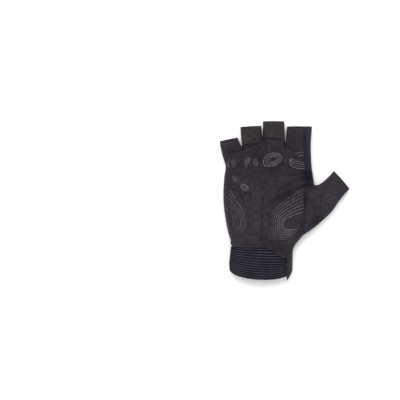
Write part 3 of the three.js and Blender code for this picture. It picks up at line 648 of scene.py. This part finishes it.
def cuff_piece():
    """The cuff with deeper grooves, found as the rows that lie under their neighbours."""
    bm = cage("cuff")
    groove = bm.verts.layers.float.new("groove")
    crease_rims(bm, lambda face: abs(face.normal.y) > RIM_FACING)
    sunk = []
    for vert in bm.verts:
        steps = [edge.other_vert(vert).co - vert.co for edge in vert.link_edges]
        steps = [step for step in steps if abs(step.y) > UPRIGHT * step.length]
        depth = sum(step.dot(vert.normal) for step in steps) / max(1, len(steps)) / MM
        from_axis = vert.co / MM - CUFF_AXIS
        from_axis.y = 0
        if depth > GROOVE_FOUND and vert.normal.dot(from_axis) > 0:
            sunk.append(vert)
            is_faint = vert.normal.z < 0 and vert.co.y < FAINT_BELOW * MM
            vert[groove] = FAINT if is_faint else 1.0
    for vert in sunk:
        vert.co -= vert.normal * GROOVE_DEPTH * MM
    piece = mesh_object("cuff_look", bm, cuff_knit)
    subdivide(piece, 2)
    height = coordinates(piece.data)[:, 2]
    # painted shade on the cuff's sides, fading out towards its top
    mark(piece.data, "shade", CUFF_SIDE_SHADE * (1 - smooth(height, *CUFF_LIT_ABOVE)))
    declare(piece, "cuff")
    return piece


pieces["cuff"] = cuff_piece()


# Printed silicone lines and stitches, laid on the finished cloth.


def surface_of(names):
    """A search tree over several pieces' finished surfaces."""
    verts, faces = [], []
    for name in names:
        mesh = pieces[name].data
        start = len(verts)
        verts += [vert.co.copy() for vert in mesh.vertices]
        faces += [[start + v for v in face.vertices] for face in mesh.polygons]
    return BVHTree.FromPolygons(verts, faces)


CURVE_PARTS = 12  # straight parts between two points of a line


def on_curve(p, t):
    """A Catmull-Rom curve's place between the second and third of its four points."""
    cubic = (
        2 * p[1]
        + (p[2] - p[0]) * t
        + (2 * p[0] - 5 * p[1] + 4 * p[2] - p[3]) * t * t
        + (3 * p[1] - p[0] - 3 * p[2] + p[3]) * t**3
    )
    return 0.5 * cubic


def curve_points(line, closed, step):
    """Points at even steps along a smooth curve through the line's points."""
    count = len(line)
    fine = []
    for i in range(count if closed else count - 1):
        places = [i - 1, i, i + 1, i + 2]
        if closed:
            near = [Vector(line[place % count]) for place in places]
        else:
            near = [Vector(line[min(max(place, 0), count - 1)]) for place in places]
        fine += [on_curve(near, part / CURVE_PARTS) for part in range(CURVE_PARTS)]
    fine.append(Vector(line[0] if closed else line[-1]))
    lengths = [0.0]
    for a, b in zip(fine, fine[1:]):
        lengths.append(lengths[-1] + (b - a).length)
    number = max(2, round(lengths[-1] / step))
    result = []
    k = 0
    for i in range(number if closed else number + 1):
        at = lengths[-1] * i / number
        while k < len(fine) - 2 and lengths[k + 1] < at:
            k += 1
        share = (at - lengths[k]) / max(1e-9, lengths[k + 1] - lengths[k])
        result.append(fine[k].lerp(fine[k + 1], share))
    return result


DOWN = Vector((0, 0, -1))
ABOVE = 100  # a height over everything
RIBBON_SINK = 0.12  # how far a ribbon's two edges lie in the cloth


def lay_ribbon(bm, cloth, line, width, height, step, closed=False):
    """A low rounded ribbon along a line, in steps, on the cloth's surface below it."""
    spots = []
    for point in curve_points(line, closed, step):
        start = Vector((point.x, point.y, ABOVE)) * MM
        hit, normal, _, _ = cloth.ray_cast(start, DOWN)
        if hit is not None:
            spots.append((hit, normal))
    if len(spots) < 2:
        return
    profile = [(-0.5, -RIBBON_SINK), (-0.3, height), (0.3, height), (0.5, -RIBBON_SINK)]
    rings = []
    last = len(spots) - 1
    for i, (hit, normal) in enumerate(spots):
        after = spots[(i + 1) % len(spots)][0] if closed or i < last else hit
        before = spots[i - 1][0] if closed or i > 0 else hit
        side = normal.cross(after - before).normalized()
        places = [hit + side * across * width * MM + normal * up * MM for across, up in profile]
        rings.append([bm.verts.new(place) for place in places])
    pairs = list(zip(rings, rings[1:])) + ([(rings[-1], rings[0])] if closed else [])
    for low, high in pairs:
        for k in range(len(profile)):
            n = (k + 1) % len(profile)
            bm.faces.new([low[k], low[n], high[n], high[k]])
    if not closed:
        bm.faces.new(rings[0][::-1])
        bm.faces.new(rings[-1])


def between(first, second, share):
    """A line that lies between two lines, point by point."""
    return [
        (a[0] + (b[0] - a[0]) * share, a[1] + (b[1] - a[1]) * share)
        for a, b in zip(first, second)
    ]


def shrunk(line, to, share):
    """A line drawn smaller towards a point."""
    return [(to[0] + (x - to[0]) * share, to[1] + (y - to[1]) * share) for x, y in line]


# Families of grip lines: count lines from the outer one to the inner one, and how worn the
# outer and the inner one are.
LINE_FAMILIES = [
    # on the large pad
    {
        "count": 7,
        "wear": (0.95, 0.1),
        "outer": [
            (18.6, 11.4), (7, 5.2), (-4.5, -3.3), (-11.2, -10), (-13.7, -17),
            (-13.8, -30.5), (-11.6, -37.8), (-3.5, -40), (7, -39.3),
        ],
        "inner": [
            (19.6, -11.4), (9.8, -14.4), (4, -16.9), (-0.2, -19), (-2, -21.6),
            (-2.3, -26.3), (-1.2, -29.2), (3, -29.8), (12.4, -29.8),
        ],
    },
    # on the small pad
    {
        "count": 6,
        "wear": (0.7, 0.95),
        "outer": [
            (-57, 10.5), (-51.5, 2), (-46.4, -6.4), (-43.3, -13.8),
            (-41.7, -22), (-42.2, -29.5), (-44.2, -32.6),
        ],
        "inner": [
            (-61.2, -7.2), (-58.2, -10.5), (-55.6, -13.5), (-54, -17),
            (-53.2, -21.5), (-53.7, -25), (-55.8, -26.6),
        ],
    },
    # below the index finger
    {
        "count": 4,
        "wear": (0.2, 0.3),
        "outer": [(4.5, 42.9), (5.2, 39.2), (7.6, 36), (11.8, 34.2), (16, 33.5), (20.3, 33.5)],
        "inner": [(5.6, 44.6), (7.6, 43.6), (10.2, 42.4), (13.2, 41.2), (16.4, 40.5), (20, 40)],
    },
    {
        "count": 2,
        "wear": (0.4, 0.4),
        "outer": [(11.3, 48.6), (15, 50.2), (20.3, 50.8)],
        "inner": [(13.6, 46.2), (16.6, 47.2), (20.3, 47.4)],
    },
]
# Grip marks below the fingers: rings of one outline, each smaller towards the middle point.
GRIP_MARKS = [
    {
        "closed": True,
        "shares": [1, 0.73, 0.46],
        "wear": 0.1,
        "middle": (-12.4, 43.2),
        "line": [
            (-22.3, 39.6), (-21, 45), (-16.8, 48.8), (-10, 49.6), (-4.2, 47),
            (-4.2, 43), (-7.4, 38.6), (-13, 36.4), (-20.4, 36.4),
        ],
    },
    {
        "closed": False,
        "shares": [1, 0.72, 0.45],
        "wear": 0.45,
        "middle": (-34.5, 40.3),
        "line": [(-36.5, 45.6), (-40, 43), (-41.8, 38.7), (-40.1, 34.5)],
    },
    {
        "closed": True,
        "shares": [1, 0.5],
        "wear": 0.65,
        "middle": (-30.6, 39.8),
        "line": [(-33, 39.6), (-30.8, 43.2), (-28, 39.8), (-30.4, 36.4)],
    },
    {
        "closed": True,
        "shares": [1, 0.5],
        "wear": 0.75,
        "middle": (-53.2, 38.8),
        "line": [(-55.3, 38.8), (-53.4, 43), (-51.2, 39), (-53, 34.6)],
    },
    {
        "closed": False,
        "shares": [1, 0.8],
        "wear": 0.75,
        "middle": (-55, 38.6),
        "line": [(-58.6, 43.2), (-60, 38.8), (-58, 34.4)],
    },
    {
        "closed": True,
        "shares": [1, 0.45],
        "wear": 0.75,
        "middle": (-50.6, 22.2),
        "line": [(-54.6, 24.4), (-50.6, 24.6), (-46.6, 20.6), (-50.6, 19.6)],
    },
    {
        "closed": True,
        "shares": [1, 0.55],
        "wear": 0.3,
        "middle": (-42.6, 13.8),
        "line": [(-46.2, 15.4), (-42, 17.2), (-38.2, 12.8), (-42.6, 10.6)],
    },
]
PRINT_WIDTH = 0.5
PRINT_HEIGHT = 0.25
PRINT_STEP = 0.9


def grip_prints():
    """All printed lines in one piece. Its points are marked with how worn each line is."""
    cloth = surface_of(["palm_panel", "thenar_pad", "hypothenar_pad", "back_mesh"])
    bm = bmesh.new()
    worn = bm.verts.layers.float.new("wear")

    def print_line(line, wear, closed=False):
        before = len(bm.verts)
        lay_ribbon(bm, cloth, line, PRINT_WIDTH, PRINT_HEIGHT, PRINT_STEP, closed)
        bm.verts.ensure_lookup_table()
        for vert in bm.verts[before:]:
            vert[worn] = wear

    for family in LINE_FAMILIES:
        outer_wear, inner_wear = family["wear"]
        for i in range(family["count"]):
            share = i / (family["count"] - 1)
            line = between(family["outer"], family["inner"], share)
            print_line(line, outer_wear + (inner_wear - outer_wear) * share)
    for row in GRIP_MARKS:
        for share in row["shares"]:
            print_line(shrunk(row["line"], row["middle"], share), row["wear"], row["closed"])
    return mesh_object("silicone_grip_prints", bm, silicone)


prints = grip_prints()
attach(prints, "root")

# Rows of stitches on the palm side: each is a line that the dashes of thread follow.
STITCH_ROWS = [
    # along the seam from the index finger to the foot of the thumb
    [(19.4, 72), (19.4, 40), (19.5, 18)],
    [(20.2, 11), (20.2, -12), (19.4, -24)],
    # along the palm's lower edge over the cuff
    [(-46, -45.6), (-30, -45.8), (-19, -46), (-12.5, -49.5), (-6.5, -53.6), (0, -56)],
    # in the fork of the thumb
    [(28.5, 13.8), (32.5, 12.4), (37, 13.2)],
]
STITCH_LENGTH = 2.0
STITCH_PITCH = 2.9
THREAD_WIDTH = 0.45
THREAD_HEIGHT = 0.16
THREAD_STEP = 0.7


def stitch_rows():
    """All stitches in one piece."""
    cloth = surface_of([name for name in pieces if name != "cuff"])
    bm = bmesh.new()
    for row in STITCH_ROWS:
        points = curve_points(row, False, STITCH_PITCH)
        for a, b in zip(points, points[1:]):
            end = a + (b - a) * (STITCH_LENGTH / STITCH_PITCH)
            dash = [tuple(a), tuple(a.lerp(end, 0.5)), tuple(end)]
            lay_ribbon(bm, cloth, dash, THREAD_WIDTH, THREAD_HEIGHT, THREAD_STEP)
    return mesh_object("stitches", bm, thread)


stitches = stitch_rows()
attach(stitches, "root")


# Floor, light and camera. The floor's and the light's sizes are in metres.

FLOOR_SIZE = 4
LIGHT_PLACE = Vector((-0.25, 0.9, 2.0))
LIGHT_SIZE = 1.4
LIGHT_WATTS = 33


def white_floor():
    """A matt pale floor, which takes the glove's soft shadow."""
    bm = bmesh.new()
    bmesh.ops.create_grid(bm, x_segments=1, y_segments=1, size=FLOOR_SIZE)
    material, tree, _ = start_material("white floor")
    paint = {"Base Color": "#fafafa", "Roughness": 0.9, "Specular IOR Level": 0.1}
    shader = add_node(tree, "ShaderNodeBsdfPrincipled", paint)
    add_node(tree, "ShaderNodeOutputMaterial", {"Surface": shader})
    mesh_object("floor", bm, material)


def softbox():
    """A large square lamp over the fingers, turned to the glove."""
    data = bpy.data.lights.new("softbox", "AREA")
    data.shape = "SQUARE"
    data.size = LIGHT_SIZE
    data.energy = LIGHT_WATTS
    made = bpy.data.objects.new("softbox", data)
    made.location = LIGHT_PLACE
    made.rotation_euler = (-LIGHT_PLACE).to_track_quat("-Z", "Y").to_euler()
    bpy.context.collection.objects.link(made)


white_floor()
softbox()

world = bpy.data.worlds.new("studio")
bpy.context.scene.world = world
world.use_nodes = True
background = world.node_tree.nodes["Background"]
background.inputs["Color"].default_value = (1, 1, 1, 1)
background.inputs["Strength"].default_value = 1.0

# Plain tones, so that the lit floor is as white as the picture's ground.
bpy.context.scene.view_settings.view_transform = "Standard"

# The picture shows the pair from straight above. Its frame is 420 mm wide at the glove, and
# the right glove lies to the right of the frame's middle.
FRAME_WIDTH = 420
FRAME_MIDDLE = (-88.4, 0.9)
CAMERA_HEIGHT = 2000
SENSOR_WIDTH = 36

camera_data = bpy.data.cameras.new("camera")
camera_data.sensor_width = SENSOR_WIDTH
camera_data.lens = SENSOR_WIDTH * CAMERA_HEIGHT / FRAME_WIDTH
camera_data.clip_end = 20
camera = bpy.data.objects.new("camera", camera_data)
camera.location = Vector((*FRAME_MIDDLE, CAMERA_HEIGHT)) * MM
bpy.context.collection.objects.link(camera)
bpy.context.scene.camera = camera
